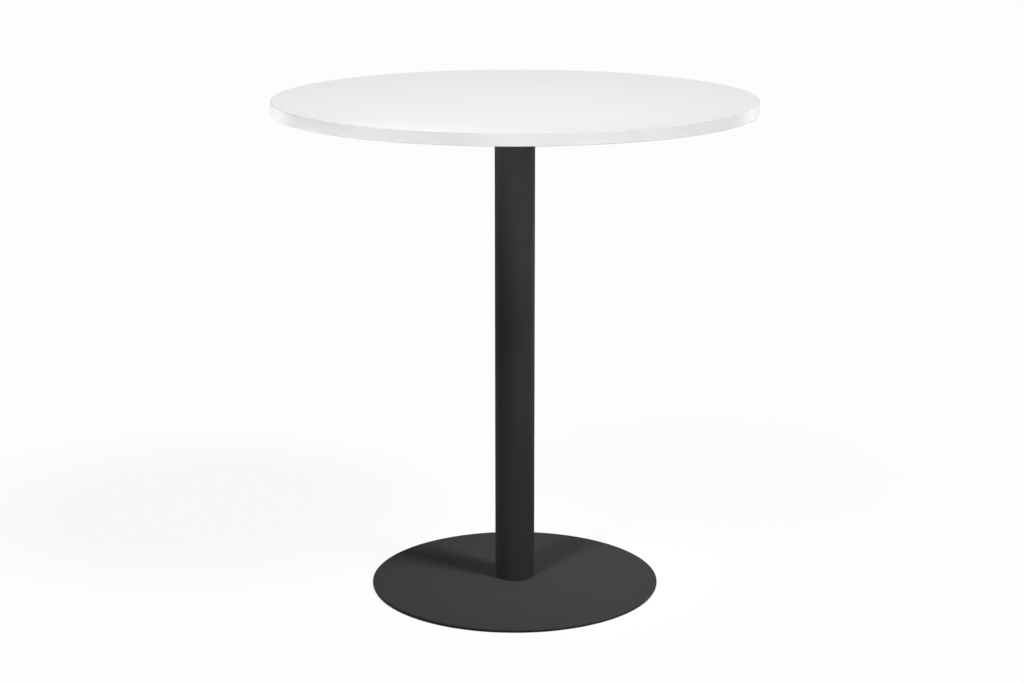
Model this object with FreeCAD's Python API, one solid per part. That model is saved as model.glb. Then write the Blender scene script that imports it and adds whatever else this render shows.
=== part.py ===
import FreeCAD, Part
from collections import namedtuple
import math
import os

# Round bar table. A laminated board top with an edge band is screwed to a four-armed steel
# spider, the spider is bolted to a tube column, and the column stands on a low coned foot:
# a pressed steel cover over a cast weight that carries four screw-in levelling glides.
# The frame has its origin on the floor under the column's axis, with +Z up. Lengths are in mm.

# Whole table
table_height = 1050.0

# Tabletop: a core with a thin facing on both sides and a band round its edge
top_diameter = 1000.0
top_thickness = 25.0
facing_thickness = 0.8
edge_band_thickness = 2.0
edge_band_round = 1.5

# Screws that hold the top, with their washers and the threaded inserts in the board
insert_diameter = 9.0
insert_length = 13.0
insert_hole_play = 0.05
insert_hole_spare = 1.0
top_screw_diameter = 6.0
top_screw_length = 16.0
top_screw_head_diameter = 10.5
top_screw_head_height = 3.3
top_screw_head_round = 2.0
top_screw_key = 4.0
top_screw_key_depth = 1.9
top_washer_diameter = 12.0
top_washer_thickness = 1.6
top_washer_hole_play = 0.2

# Spider: a round hub plate with four folded channel arms welded on it
arm_count = 4
arm_width = 36.0
arm_root_depth = 24.0
arm_tip_depth = 10.0
arm_sheet = 3.0
arm_bend_radius = 4.5
arm_inner_radius = 48.0
arm_outer_radius = 340.0
arm_tongue_length = 16.0
arm_tongue_round = 12.0
arm_screw_end_distance = 30.0
arm_screw_spacing = 130.0
hub_diameter = 180.0
hub_thickness = 6.0
hub_edge_round = 1.0

# Column: a tube with a threaded plate welded into each end
column_diameter = 84.0
column_wall = 2.0
end_plate_thickness = 8.0
end_screw_circle = 52.0
end_screw_count = 4
end_screw_diameter = 8.0
end_screw_tip_inset = 0.5
end_screw_turn = 45.0

# Bolts between the spider and the column, with split spring washers
hub_bolt_head_diameter = 13.0
hub_bolt_head_height = 8.0
hub_bolt_head_round = 0.8
hub_bolt_key = 6.0
hub_bolt_key_depth = 4.0
spring_washer_diameter = 14.8
spring_washer_thickness = 2.0
spring_washer_split = 1.5

# Foot: the cover, and the weight inside it
foot_diameter = 614.0
foot_rim_height = 8.0
foot_seat_height = 15.0
foot_floor_gap = 4.0
cover_sheet = 1.2
cover_rim_round = 1.5
cover_seat_margin = 1.0
weight_below_rim = 1.5
weight_side_gap = 1.0
weight_edge_chamfer = 1.0

# Countersunk screws between the foot and the column
foot_screw_head_diameter = 16.0
foot_screw_head_inset = 0.4
foot_screw_key = 5.0
foot_screw_key_depth = 2.8

# Levelling glides: a threaded stud with a flat head, turning in a pad that stays on the floor
glide_count = 4
glide_rim_distance = 45.0
glide_turn = 45.0
glide_thread_diameter = 8.0
glide_thread_chamfer = 0.6
glide_head_diameter = 18.0
glide_head_thickness = 1.2
glide_head_gap = 0.3
glide_key = 4.0
glide_key_depth = 2.4
glide_pad_diameter = 24.0
glide_pad_lip = 0.9
glide_pad_round = 0.4
glide_pad_key_hole = 7.0
glide_pad_play = 0.3

# Fits
thread_play = 0.05
screw_hole_play = 0.5
stud_top_gap = 0.3
cut_overrun = 1.0
match_tolerance = 0.0001

# Levels and radii that follow from the sizes above
top_radius = top_diameter / 2
board_radius = top_radius - edge_band_thickness
top_underside = table_height - top_thickness
core_bottom = top_underside + facing_thickness
core_top = table_height - facing_thickness
hub_top = top_underside - arm_root_depth
column_top = hub_top - hub_thickness
column_radius = column_diameter / 2
column_bore_radius = column_radius - column_wall
foot_radius = foot_diameter / 2
seat_radius = column_radius + cover_seat_margin
weight_bottom = foot_floor_gap - weight_below_rim
weight_radius = foot_radius - cover_sheet - weight_side_gap
foot_screw_head_bottom = weight_bottom + foot_screw_head_inset
glide_circle_radius = foot_radius - glide_rim_distance
glide_head_top = weight_bottom - glide_head_gap
glide_head_bottom = glide_head_top - glide_head_thickness
end_screw_radius = end_screw_diameter / 2
top_screw_radius = top_screw_diameter / 2
insert_hole_radius = insert_diameter / 2 + insert_hole_play
arm_taper_start = hub_diameter / 2 - hub_edge_round
outer_arm_screw = arm_outer_radius - arm_screw_end_distance
inner_arm_screw = outer_arm_screw - arm_screw_spacing

# A screw with a round head and a hexagon socket
SocketScrew = namedtuple("SocketScrew", "radius head_radius head_height head_round key key_depth")
button_head_screw = SocketScrew(
    top_screw_radius,
    top_screw_head_diameter / 2,
    top_screw_head_height,
    top_screw_head_round,
    top_screw_key,
    top_screw_key_depth,
)
cylinder_head_bolt = SocketScrew(
    end_screw_radius,
    hub_bolt_head_diameter / 2,
    hub_bolt_head_height,
    hub_bolt_head_round,
    hub_bolt_key,
    hub_bolt_key_depth,
)


def save(name, shape):
    """Write one sub-part to its own file."""
    shape.exportStep(os.path.join("parts", name + ".step"))


def polar(radius, angle):
    """A point on the floor plane at a radius and an angle in degrees."""
    turn = math.radians(angle)
    return radius * math.cos(turn), radius * math.sin(turn)


def ring_angles(count, first):
    """Evenly spaced angles in degrees round the axis."""
    return [first + 360.0 * step / count for step in range(count)]


def disc(radius, bottom, top, at=(0.0, 0.0)):
    """An upright cylinder between two levels."""
    return Part.makeCylinder(radius, top - bottom, FreeCAD.Vector(at[0], at[1], bottom))


def hex_bar(width, bottom, top, at):
    """An upright hexagonal bar, measured across its flats."""
    corner = width / math.sqrt(3)
    points = []
    for angle in ring_angles(6, 0.0):
        x, y = polar(corner, angle)
        points.append(FreeCAD.Vector(at[0] + x, at[1] + y, bottom))
    face = Part.Face(Part.makePolygon(points + points[:1]))
    return face.extrude(FreeCAD.Vector(0, 0, top - bottom))


def turned(points):
    """A solid turned about the upright axis from (radius, height) corner points."""
    corners = [FreeCAD.Vector(radius, 0, height) for radius, height in points]
    face = Part.Face(Part.makePolygon(corners + corners[:1]))
    return face.revolve(FreeCAD.Vector(0, 0, 0), FreeCAD.Vector(0, 0, 1), 360)


def edges_on(shape, radius, height):
    """The edges whose every point lies at one radius from the axis and at one height."""
    found = []
    for edge in shape.Edges:
        points = edge.discretize(5)
        off = [max(abs(math.hypot(point.x, point.y) - radius), abs(point.z - height)) for point in points]
        if max(off) < match_tolerance:
            found.append(edge)
    return found


def level_edges(shape, height):
    """The edges that lie flat at one height."""
    boxes = [(edge, edge.BoundBox) for edge in shape.Edges]
    return [edge for edge, box in boxes if max(abs(box.ZMin - height), box.ZLength) < match_tolerance]


def grouped(shapes):
    """Several separate solids kept as one sub-part."""
    return Part.makeCompound(shapes)


def top_screw_places():
    """The places of the screws that hold the top, arm by arm."""
    radii = (inner_arm_screw, outer_arm_screw)
    return [polar(radius, angle) for angle in ring_angles(arm_count, 0.0) for radius in radii]


def end_screw_places():
    """The places of the four screws at each end of the column."""
    return [polar(end_screw_circle / 2, angle) for angle in ring_angles(end_screw_count, end_screw_turn)]


def glide_places():
    """The places of the glides under the foot."""
    return [polar(glide_circle_radius, angle) for angle in ring_angles(glide_count, glide_turn)]


def cover_height(radius):
    """The height of the foot's coned top at a radius, from the column's seat to the rim."""
    fall = (foot_seat_height - foot_rim_height) / (foot_radius - seat_radius)
    return foot_seat_height - fall * max(0.0, radius - seat_radius)


def tabletop_core():
    """The board's core, with blind holes from below for the threaded inserts."""
    core = disc(board_radius, core_bottom, core_top)
    hole_top = top_underside + insert_length + insert_hole_spare
    for place in top_screw_places():
        core = core.cut(disc(insert_hole_radius, core_bottom - cut_overrun, hole_top, place))
    return core


def tabletop_upper_facing():
    """The thin laminate that is the table's working surface."""
    return disc(board_radius, core_top, table_height)


def tabletop_lower_facing():
    """The balancing laminate below, open where the inserts go in."""
    facing = disc(board_radius, top_underside, core_bottom)
    for place in top_screw_places():
        hole = disc(insert_hole_radius, top_underside - cut_overrun, core_bottom + cut_overrun, place)
        facing = facing.cut(hole)
    return facing


def tabletop_edge_band():
    """The band glued round the board, with both outer corners rounded."""
    band = disc(top_radius, top_underside, table_height)
    band = band.cut(disc(board_radius, top_underside - cut_overrun, table_height + cut_overrun))
    corners = edges_on(band, top_radius, top_underside) + edges_on(band, top_radius, table_height)
    return band.makeFillet(edge_band_round, corners)


def tabletop_inserts():
    """The threaded inserts, flush with the underside of the board."""
    bottom = top_underside
    top = top_underside + insert_length
    inserts = []
    for place in top_screw_places():
        body = disc(insert_diameter / 2, bottom, top, place)
        bore = disc(top_screw_radius + thread_play, bottom - cut_overrun, top + cut_overrun, place)
        inserts.append(body.cut(bore))
    return grouped(inserts)


def tabletop_washers():
    """The flat washers between the screw heads and the arms."""
    top = top_underside - arm_sheet
    bottom = top - top_washer_thickness
    washers = []
    for place in top_screw_places():
        washer = disc(top_washer_diameter / 2, bottom, top, place)
        hole = disc(top_screw_radius + top_washer_hole_play, bottom - cut_overrun, top + cut_overrun, place)
        washers.append(washer.cut(hole))
    return grouped(washers)


def socket_screw(screw, place, seat, length, sign):
    """A screw with its head against the seat and its shank pointing up (sign 1) or down (sign -1)."""
    shank_ends = sorted((seat, seat + sign * length))
    head_ends = sorted((seat, seat - sign * screw.head_height))
    crown = seat - sign * screw.head_height
    key_ends = sorted((crown, crown + sign * screw.key_depth))
    head = disc(screw.head_radius, head_ends[0], head_ends[1], place)
    head = head.makeFillet(screw.head_round, level_edges(head, crown))
    shank = disc(screw.radius, shank_ends[0], shank_ends[1], place)
    key = hex_bar(screw.key, key_ends[0], key_ends[1], place)
    return head.fuse(shank).cut(key).removeSplitter()


def tabletop_screws():
    """The button-head screws, driven up through the arms into the inserts."""
    seat = top_underside - arm_sheet - top_washer_thickness
    places = top_screw_places()
    return grouped([socket_screw(button_head_screw, place, seat, top_screw_length, 1) for place in places])


def spider_hub():
    """The round plate that is bolted on the column and carries the arms."""
    radius = hub_diameter / 2
    hub = disc(radius, column_top, hub_top)
    hub = hub.makeFillet(hub_edge_round, edges_on(hub, radius, column_top) + edges_on(hub, radius, hub_top))
    bottom = column_top - cut_overrun
    for place in end_screw_places():
        hub = hub.cut(disc(end_screw_radius + screw_hole_play, bottom, hub_top + cut_overrun, place))
    return hub


def channel_section(start):
    """The arm's cross-section at a distance from the axis: a channel that is open below."""
    half = arm_width / 2
    inner = half - arm_sheet
    inner_radius = arm_bend_radius - arm_sheet
    roof = top_underside
    ceiling = roof - arm_sheet
    halfway_share = math.sqrt(0.5)

    def point(y, z):
        return FreeCAD.Vector(start, y, z)

    def corner(side, radius, y, z):
        """A quarter bend from an upright wall to the roof, about a centre at (y, z)."""
        on_wall = point(side * (y + radius), z)
        middle = point(side * (y + radius * halfway_share), z + radius * halfway_share)
        on_roof = point(side * y, z + radius)
        return Part.Arc(on_wall, middle, on_roof).toShape()

    outer_y = half - arm_bend_radius
    outer_z = roof - arm_bend_radius
    inner_y = inner - inner_radius
    inner_z = ceiling - inner_radius
    edges = [
        Part.makeLine(point(-half, hub_top), point(-half, outer_z)),
        corner(-1, arm_bend_radius, outer_y, outer_z),
        Part.makeLine(point(-outer_y, roof), point(outer_y, roof)),
        corner(1, arm_bend_radius, outer_y, outer_z),
        Part.makeLine(point(half, outer_z), point(half, hub_top)),
        Part.makeLine(point(half, hub_top), point(inner, hub_top)),
        Part.makeLine(point(inner, hub_top), point(inner, inner_z)),
        corner(1, inner_radius, inner_y, inner_z),
        Part.makeLine(point(inner_y, ceiling), point(-inner_y, ceiling)),
        corner(-1, inner_radius, inner_y, inner_z),
        Part.makeLine(point(-inner, inner_z), point(-inner, hub_top)),
        Part.makeLine(point(-inner, hub_top), point(-half, hub_top)),
    ]
    return Part.Face(Part.Wire(Part.__sortEdges__(edges)))


def arm_plan():
    """The arm's outline seen from above, with the tongue's corners rounded."""
    start = arm_inner_radius - cut_overrun
    height = arm_root_depth + 2 * cut_overrun
    corner = FreeCAD.Vector(start, -arm_width / 2, hub_top - cut_overrun)
    plan = Part.makeBox(arm_outer_radius - start, arm_width, height, corner)
    tips = []
    for edge in plan.Edges:
        box = edge.BoundBox
        if box.ZLength > height / 2 and abs(box.XMin - arm_outer_radius) < match_tolerance:
            tips.append(edge)
    return plan.makeFillet(arm_tongue_round, tips)


def arm_taper():
    """What is cut away below the arm: a slope from the hub plate to the tip, and all below the tongue."""
    half = arm_width / 2 + cut_overrun
    below = hub_top - cut_overrun
    beyond = arm_outer_radius + cut_overrun
    ceiling = top_underside - arm_sheet
    tongue_start = arm_outer_radius - arm_tongue_length
    outline = [
        (arm_taper_start, hub_top),
        (tongue_start, top_underside - arm_tip_depth),
        (tongue_start, ceiling),
        (beyond, ceiling),
        (beyond, below),
        (arm_taper_start, below),
    ]
    corners = [FreeCAD.Vector(x, -half, z) for x, z in outline]
    return Part.Face(Part.makePolygon(corners + corners[:1])).extrude(FreeCAD.Vector(0, 2 * half, 0))


def spider_arm(angle):
    """One folded arm, tapered below towards a flat tongue and drilled for its two screws."""
    length = arm_outer_radius - arm_inner_radius
    arm = channel_section(arm_inner_radius).extrude(FreeCAD.Vector(length, 0, 0))
    arm = arm.cut(arm_taper()).common(arm_plan())
    bottom = top_underside - arm_sheet - cut_overrun
    for radius in (inner_arm_screw, outer_arm_screw):
        hole = disc(top_screw_radius + screw_hole_play, bottom, top_underside + cut_overrun, (radius, 0.0))
        arm = arm.cut(hole)
    arm.rotate(FreeCAD.Vector(0, 0, 0), FreeCAD.Vector(0, 0, 1), angle)
    return arm


def spider_bolts():
    """The socket bolts through the hub plate into the column's upper plate."""
    seat = hub_top + spring_washer_thickness
    length = seat - (column_top - end_plate_thickness + end_screw_tip_inset)
    places = end_screw_places()
    return grouped([socket_screw(cylinder_head_bolt, place, seat, length, -1) for place in places])


def spring_washers():
    """The split spring washers under the bolt heads."""
    top = hub_top + spring_washer_thickness
    washers = []
    for place in end_screw_places():
        washer = disc(spring_washer_diameter / 2, hub_top, top, place)
        hole = disc(end_screw_radius + thread_play, hub_top - cut_overrun, top + cut_overrun, place)
        corner = FreeCAD.Vector(place[0], place[1] - spring_washer_split / 2, hub_top - cut_overrun)
        height = spring_washer_thickness + 2 * cut_overrun
        split = Part.makeBox(spring_washer_diameter, spring_washer_split, height, corner)
        washers.append(washer.cut(hole).cut(split))
    return grouped(washers)


def column_tube():
    """The column's tube, standing on the foot and reaching up to the hub plate."""
    bore = disc(column_bore_radius, foot_seat_height - cut_overrun, column_top + cut_overrun)
    return disc(column_radius, foot_seat_height, column_top).cut(bore)


def column_plate(bottom):
    """A threaded plate welded inside one end of the tube."""
    top = bottom + end_plate_thickness
    plate = disc(column_bore_radius, bottom, top)
    for place in end_screw_places():
        hole = disc(end_screw_radius + thread_play, bottom - cut_overrun, top + cut_overrun, place)
        plate = plate.cut(hole)
    return plate


def foot_cover():
    """The pressed cover: a shallow cone with a rounded rim turned down towards the floor."""
    outer = turned(
        [
            (0.0, foot_floor_gap),
            (foot_radius, foot_floor_gap),
            (foot_radius, foot_rim_height),
            (seat_radius, foot_seat_height),
            (0.0, foot_seat_height),
        ]
    )
    outer = outer.makeFillet(cover_rim_round, edges_on(outer, foot_radius, foot_rim_height))
    inner_radius = foot_radius - cover_sheet
    inner_rim_height = cover_height(inner_radius) - cover_sheet
    inner = turned(
        [
            (0.0, foot_floor_gap - cut_overrun),
            (inner_radius, foot_floor_gap - cut_overrun),
            (inner_radius, inner_rim_height),
            (seat_radius, foot_seat_height - cover_sheet),
            (0.0, foot_seat_height - cover_sheet),
        ]
    )
    inner = inner.makeFillet(cover_rim_round - cover_sheet, edges_on(inner, inner_radius, inner_rim_height))
    cover = outer.cut(inner)
    bottom = foot_seat_height - cover_sheet - cut_overrun
    for place in end_screw_places():
        hole = disc(end_screw_radius + screw_hole_play, bottom, foot_seat_height + cut_overrun, place)
        cover = cover.cut(hole)
    return cover


def foot_weight():
    """The cast weight under the cover, countersunk for the column's screws and tapped for the glides."""
    edge_height = cover_height(weight_radius) - cover_sheet
    chamfer_radius = weight_radius - weight_edge_chamfer
    weight = turned(
        [
            (0.0, weight_bottom),
            (weight_radius, weight_bottom),
            (weight_radius, edge_height - weight_edge_chamfer),
            (chamfer_radius, cover_height(chamfer_radius) - cover_sheet),
            (seat_radius, foot_seat_height - cover_sheet),
            (0.0, foot_seat_height - cover_sheet),
        ]
    )
    bottom = weight_bottom - cut_overrun
    top = foot_seat_height + cut_overrun
    for place in end_screw_places():
        recess = disc(foot_screw_head_diameter / 2, bottom, foot_screw_head_bottom, place)
        weight = weight.cut(countersunk_head(place)).cut(recess)
        weight = weight.cut(disc(end_screw_radius + screw_hole_play, bottom, top, place))
    for place in glide_places():
        weight = weight.cut(disc(glide_thread_diameter / 2 + thread_play, bottom, top, place))
    return weight


def countersunk_head(place):
    """The cone of a countersunk head, which is also the cone of its seat."""
    head_radius = foot_screw_head_diameter / 2
    base = FreeCAD.Vector(place[0], place[1], foot_screw_head_bottom)
    return Part.makeCone(head_radius, end_screw_radius, head_radius - end_screw_radius, base)


def foot_screws():
    """The countersunk screws, driven up through the weight and the cover into the column."""
    bottom = foot_screw_head_bottom
    tip = foot_seat_height + end_plate_thickness - end_screw_tip_inset
    screws = []
    for place in end_screw_places():
        shank = disc(end_screw_radius, bottom, tip, place)
        key = hex_bar(foot_screw_key, bottom - cut_overrun, bottom + foot_screw_key_depth, place)
        screws.append(countersunk_head(place).fuse(shank).cut(key).removeSplitter())
    return grouped(screws)


def glide_stud(place):
    """A glide's threaded stud with its flat head and a hexagon socket below."""
    radius = glide_thread_diameter / 2
    stud_top = cover_height(glide_circle_radius + radius) - cover_sheet - stud_top_gap
    head = disc(glide_head_diameter / 2, glide_head_bottom, glide_head_top, place)
    shank = disc(radius, glide_head_bottom, stud_top, place)
    shank = shank.makeChamfer(glide_thread_chamfer, level_edges(shank, stud_top))
    key = hex_bar(glide_key, glide_head_bottom - cut_overrun, glide_head_bottom + glide_key_depth, place)
    return head.fuse(shank).cut(key)


def glide_pad(place):
    """A glide's pad: a shallow dish round the stud's head, with a hole for the key."""
    top = glide_head_bottom + glide_pad_lip
    pad = disc(glide_pad_diameter / 2, 0.0, top, place)
    pad = pad.makeFillet(glide_pad_round, level_edges(pad, 0.0))
    recess = disc(glide_head_diameter / 2 + glide_pad_play, glide_head_bottom, top + cut_overrun, place)
    key_hole = disc(glide_pad_key_hole / 2, -cut_overrun, top, place)
    return pad.cut(recess).cut(key_hole)


def main():
    """Build every sub-part and write it to its own file."""
    os.makedirs("parts", exist_ok=True)
    save("tabletop_core", tabletop_core())
    save("tabletop_upper_facing", tabletop_upper_facing())
    save("tabletop_lower_facing", tabletop_lower_facing())
    save("tabletop_edge_band", tabletop_edge_band())
    save("tabletop_inserts", tabletop_inserts())
    save("tabletop_screws", tabletop_screws())
    save("tabletop_washers", tabletop_washers())
    save("spider_hub_plate", spider_hub())
    for number, angle in enumerate(ring_angles(arm_count, 0.0), start=1):
        save(f"spider_arm_{number}", spider_arm(angle))
    save("spider_bolts", spider_bolts())
    save("spider_spring_washers", spring_washers())
    save("column_tube", column_tube())
    save("column_upper_plate", column_plate(column_top - end_plate_thickness))
    save("column_lower_plate", column_plate(foot_seat_height))
    save("foot_cover", foot_cover())
    save("foot_weight", foot_weight())
    save("foot_screws", foot_screws())
    for number, place in enumerate(glide_places(), start=1):
        save(f"glide_stud_{number}", glide_stud(place))
        save(f"glide_pad_{number}", glide_pad(place))


main()
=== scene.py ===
import bmesh
import bpy
import math
from mathutils import Matrix, Vector


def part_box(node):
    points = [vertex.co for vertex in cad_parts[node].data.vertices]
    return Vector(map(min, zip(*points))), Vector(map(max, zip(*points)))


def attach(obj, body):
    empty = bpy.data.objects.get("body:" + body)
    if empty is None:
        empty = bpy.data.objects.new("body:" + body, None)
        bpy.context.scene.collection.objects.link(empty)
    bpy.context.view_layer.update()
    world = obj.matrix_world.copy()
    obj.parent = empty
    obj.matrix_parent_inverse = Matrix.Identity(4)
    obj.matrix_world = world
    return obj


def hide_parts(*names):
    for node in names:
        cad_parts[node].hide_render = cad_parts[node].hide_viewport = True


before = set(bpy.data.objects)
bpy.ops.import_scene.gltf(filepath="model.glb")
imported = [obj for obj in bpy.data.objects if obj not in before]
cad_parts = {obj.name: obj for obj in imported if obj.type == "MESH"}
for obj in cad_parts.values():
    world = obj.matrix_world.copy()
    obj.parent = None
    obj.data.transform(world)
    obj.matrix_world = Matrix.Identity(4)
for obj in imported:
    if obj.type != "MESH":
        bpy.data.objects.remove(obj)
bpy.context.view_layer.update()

bl_info = {
    "name": "Bar Table Finish",
    "version": (1, 0, 0),
    "blender": (4, 5, 0),
    "location": "3D View > Sidebar > Bar Table",
    "description": "Dresses a round bar table: laminated top, powder-coated column and weighted foot",
    "category": "Object",
}

# The body that every fixed piece of the table rides on
TABLE = "table"
GLIDES = (1, 2, 3, 4)
ARMS = (1, 2, 3, 4)
FULL_TURN = 2 * math.pi

# The corners of a ring's section, in the order that ring_section gives them
LOWER_INNER, LOWER_OUTER, UPPER_OUTER, UPPER_INNER = range(4)

# Segments across a small broken corner
BREAK_SEGMENTS = 2

# Lengths in metres: points this close are one point, and cutters reach this far past what they cut
SAME_POINT = 0.0000001
CUT_OVERRUN = 0.001

# Distances in metres: from the column's axis to the strips and to the floor's edges, and from the glides'
# pads down to the floor, so that their undersides show from below
LAMP_DISTANCE = 4.0
FLOOR_REACH = 30.0
FLOOR_GAP = 0.0001

# Settings


class BarTableSizes(bpy.types.PropertyGroup):
    """Sizes of the details on the table's pieces."""

    edge_round: bpy.props.FloatProperty(
        name="Edge rounding",
        description="Radius of the edge band's two outer corners",
        default=0.0015,
        min=0.0002,
        unit="LENGTH",
        subtype="DISTANCE",
    )
    edge_thickness: bpy.props.FloatProperty(
        name="Edge band thickness",
        description="Thickness of the band glued round the board",
        default=0.002,
        min=0.0005,
        unit="LENGTH",
        subtype="DISTANCE",
    )
    glue_line: bpy.props.FloatProperty(
        name="Glue line",
        description="Width of the fine line between the laminate and the edge band",
        default=0.0001,
        min=0.00002,
        unit="LENGTH",
        subtype="DISTANCE",
    )
    butt_gap: bpy.props.FloatProperty(
        name="Band joint",
        description="Width of the joint at the back, where the edge band's two ends meet",
        default=0.00012,
        min=0.00002,
        unit="LENGTH",
        subtype="DISTANCE",
    )
    corner_break: bpy.props.FloatProperty(
        name="Broken corner",
        description="Width of the small bevel on cut and scraped corners",
        default=0.00012,
        min=0.00002,
        unit="LENGTH",
        subtype="DISTANCE",
    )
    insert_hole: bpy.props.FloatProperty(
        name="Insert hole",
        description="Diameter of the holes for the threaded inserts",
        default=0.0091,
        min=0.001,
        unit="LENGTH",
        subtype="DISTANCE",
    )
    tube_wall: bpy.props.FloatProperty(
        name="Tube wall",
        description="Wall of the column's tube",
        default=0.002,
        min=0.0005,
        unit="LENGTH",
        subtype="DISTANCE",
    )
    cover_sheet: bpy.props.FloatProperty(
        name="Cover sheet",
        description="Thickness of the foot's pressed cover",
        default=0.0012,
        min=0.0005,
        unit="LENGTH",
        subtype="DISTANCE",
    )
    rim_height: bpy.props.FloatProperty(
        name="Rim height",
        description="Height of the foot's rim, where the cone of the cover ends",
        default=0.008,
        min=0.003,
        unit="LENGTH",
        subtype="DISTANCE",
    )
    rim_round: bpy.props.FloatProperty(
        name="Rim rounding",
        description="Radius of the bend at the foot's rim",
        default=0.0015,
        min=0.0013,
        unit="LENGTH",
        subtype="DISTANCE",
    )
    seat_margin: bpy.props.FloatProperty(
        name="Seat margin",
        description="How far the cover's flat seat reaches beyond the column",
        default=0.001,
        min=0.0,
        unit="LENGTH",
        subtype="DISTANCE",
    )
    cover_hole: bpy.props.FloatProperty(
        name="Cover hole",
        description="Diameter of the cover's holes for the column's screws",
        default=0.009,
        min=0.001,
        unit="LENGTH",
        subtype="DISTANCE",
    )
    weld_radius: bpy.props.FloatProperty(
        name="Weld radius",
        description="Radius of the weld beads along the arms",
        default=0.0026,
        min=0.0005,
        unit="LENGTH",
        subtype="DISTANCE",
    )
    weld_ripple: bpy.props.FloatProperty(
        name="Weld ripple",
        description="Distance from one ripple of a weld bead to the next",
        default=0.0024,
        min=0.0005,
        unit="LENGTH",
        subtype="DISTANCE",
    )
    thread_pitch: bpy.props.FloatProperty(
        name="Thread pitch",
        description="Pitch of the glides' threads",
        default=0.001,
        min=0.0002,
        unit="LENGTH",
        subtype="DISTANCE",
    )
    thread_depth: bpy.props.FloatProperty(
        name="Thread depth",
        description="Depth of the glides' threads",
        default=0.00055,
        min=0.0001,
        unit="LENGTH",
        subtype="DISTANCE",
    )
    stud_radius: bpy.props.FloatProperty(
        name="Stud radius",
        description="Outer radius of the glides' threads",
        default=0.004,
        min=0.001,
        unit="LENGTH",
        subtype="DISTANCE",
    )
    stud_head: bpy.props.FloatProperty(
        name="Stud head",
        description="Thickness of the flat heads of the glides' studs",
        default=0.0012,
        min=0.0003,
        unit="LENGTH",
        subtype="DISTANCE",
    )
    stud_key: bpy.props.FloatProperty(
        name="Stud key",
        description="Width across the flats of the sockets in the glides' studs",
        default=0.004,
        min=0.001,
        unit="LENGTH",
        subtype="DISTANCE",
    )
    stud_key_depth: bpy.props.FloatProperty(
        name="Stud key depth",
        description="Depth of the sockets in the glides' studs",
        default=0.0024,
        min=0.0005,
        unit="LENGTH",
        subtype="DISTANCE",
    )
    shading_hold: bpy.props.FloatProperty(
        name="Shading hold",
        description="How far from a rounded corner an extra ring keeps the flat beside it evenly shaded",
        default=0.0004,
        min=0.0001,
        unit="LENGTH",
        subtype="DISTANCE",
    )
    merging: bpy.props.FloatProperty(
        name="Merging distance",
        description="Points closer together than this are merged after a cut",
        default=0.000002,
        min=0.0,
        unit="LENGTH",
        subtype="DISTANCE",
    )
    round_steps: bpy.props.IntProperty(
        name="Steps round",
        description="Number of steps round the top and the foot",
        default=512,
        min=64,
        max=1024,
    )


class BarTableColours(bpy.types.PropertyGroup):
    """Colours of the table's finishes."""

    laminate: bpy.props.FloatVectorProperty(
        name="Laminate",
        description="White of the tabletop's laminate",
        default=(0.895, 0.895, 0.895),
        size=3,
        min=0.0,
        max=1.0,
        subtype="COLOR",
    )
    edge_band: bpy.props.FloatVectorProperty(
        name="Edge band",
        description="White of the band round the tabletop",
        default=(0.665, 0.665, 0.665),
        size=3,
        min=0.0,
        max=1.0,
        subtype="COLOR",
    )
    backer: bpy.props.FloatVectorProperty(
        name="Backing laminate",
        description="Off-white of the laminate under the top",
        default=(0.72, 0.72, 0.70),
        size=3,
        min=0.0,
        max=1.0,
        subtype="COLOR",
    )
    board: bpy.props.FloatVectorProperty(
        name="Board",
        description="Brown of the board inside the top",
        default=(0.42, 0.29, 0.16),
        size=3,
        min=0.0,
        max=1.0,
        subtype="COLOR",
    )
    # The column's and spider's coat is the foot's powder coat painted darker: painted shade standing in for
    # the lesser light on upright faces
    column_coat_with_painted_shade: bpy.props.FloatVectorProperty(
        name="Column coat",
        description="Black powder coat of the column and the spider",
        default=(0.030, 0.030, 0.030),
        size=3,
        min=0.0,
        max=1.0,
        subtype="COLOR",
    )
    foot_coat: bpy.props.FloatVectorProperty(
        name="Foot coat",
        description="Black powder coat of the foot's cover",
        default=(0.0452, 0.0452, 0.0452),
        size=3,
        min=0.0,
        max=1.0,
        subtype="COLOR",
    )
    cast_iron: bpy.props.FloatVectorProperty(
        name="Cast iron",
        description="Dark primer on the foot's weight",
        default=(0.035, 0.035, 0.036),
        size=3,
        min=0.0,
        max=1.0,
        subtype="COLOR",
    )
    zinc: bpy.props.FloatVectorProperty(
        name="Zinc",
        description="Bright zinc of screws and washers",
        default=(0.60, 0.61, 0.62),
        size=3,
        min=0.0,
        max=1.0,
        subtype="COLOR",
    )
    zinc_alloy: bpy.props.FloatVectorProperty(
        name="Zinc alloy",
        description="Dull grey of the cast threaded inserts",
        default=(0.42, 0.42, 0.40),
        size=3,
        min=0.0,
        max=1.0,
        subtype="COLOR",
    )
    black_oxide: bpy.props.FloatVectorProperty(
        name="Black oxide",
        description="Black of the bolts between spider and column",
        default=(0.05, 0.05, 0.052),
        size=3,
        min=0.0,
        max=1.0,
        subtype="COLOR",
    )
    nylon: bpy.props.FloatVectorProperty(
        name="Nylon",
        description="Black of the glides' pads",
        default=(0.018, 0.018, 0.018),
        size=3,
        min=0.0,
        max=1.0,
        subtype="COLOR",
    )
    floor: bpy.props.FloatVectorProperty(
        name="Floor",
        description="Pale floor under the table, as its light reaches the table",
        default=(0.45, 0.45, 0.45),
        size=3,
        min=0.0,
        max=1.0,
        subtype="COLOR",
    )


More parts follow.
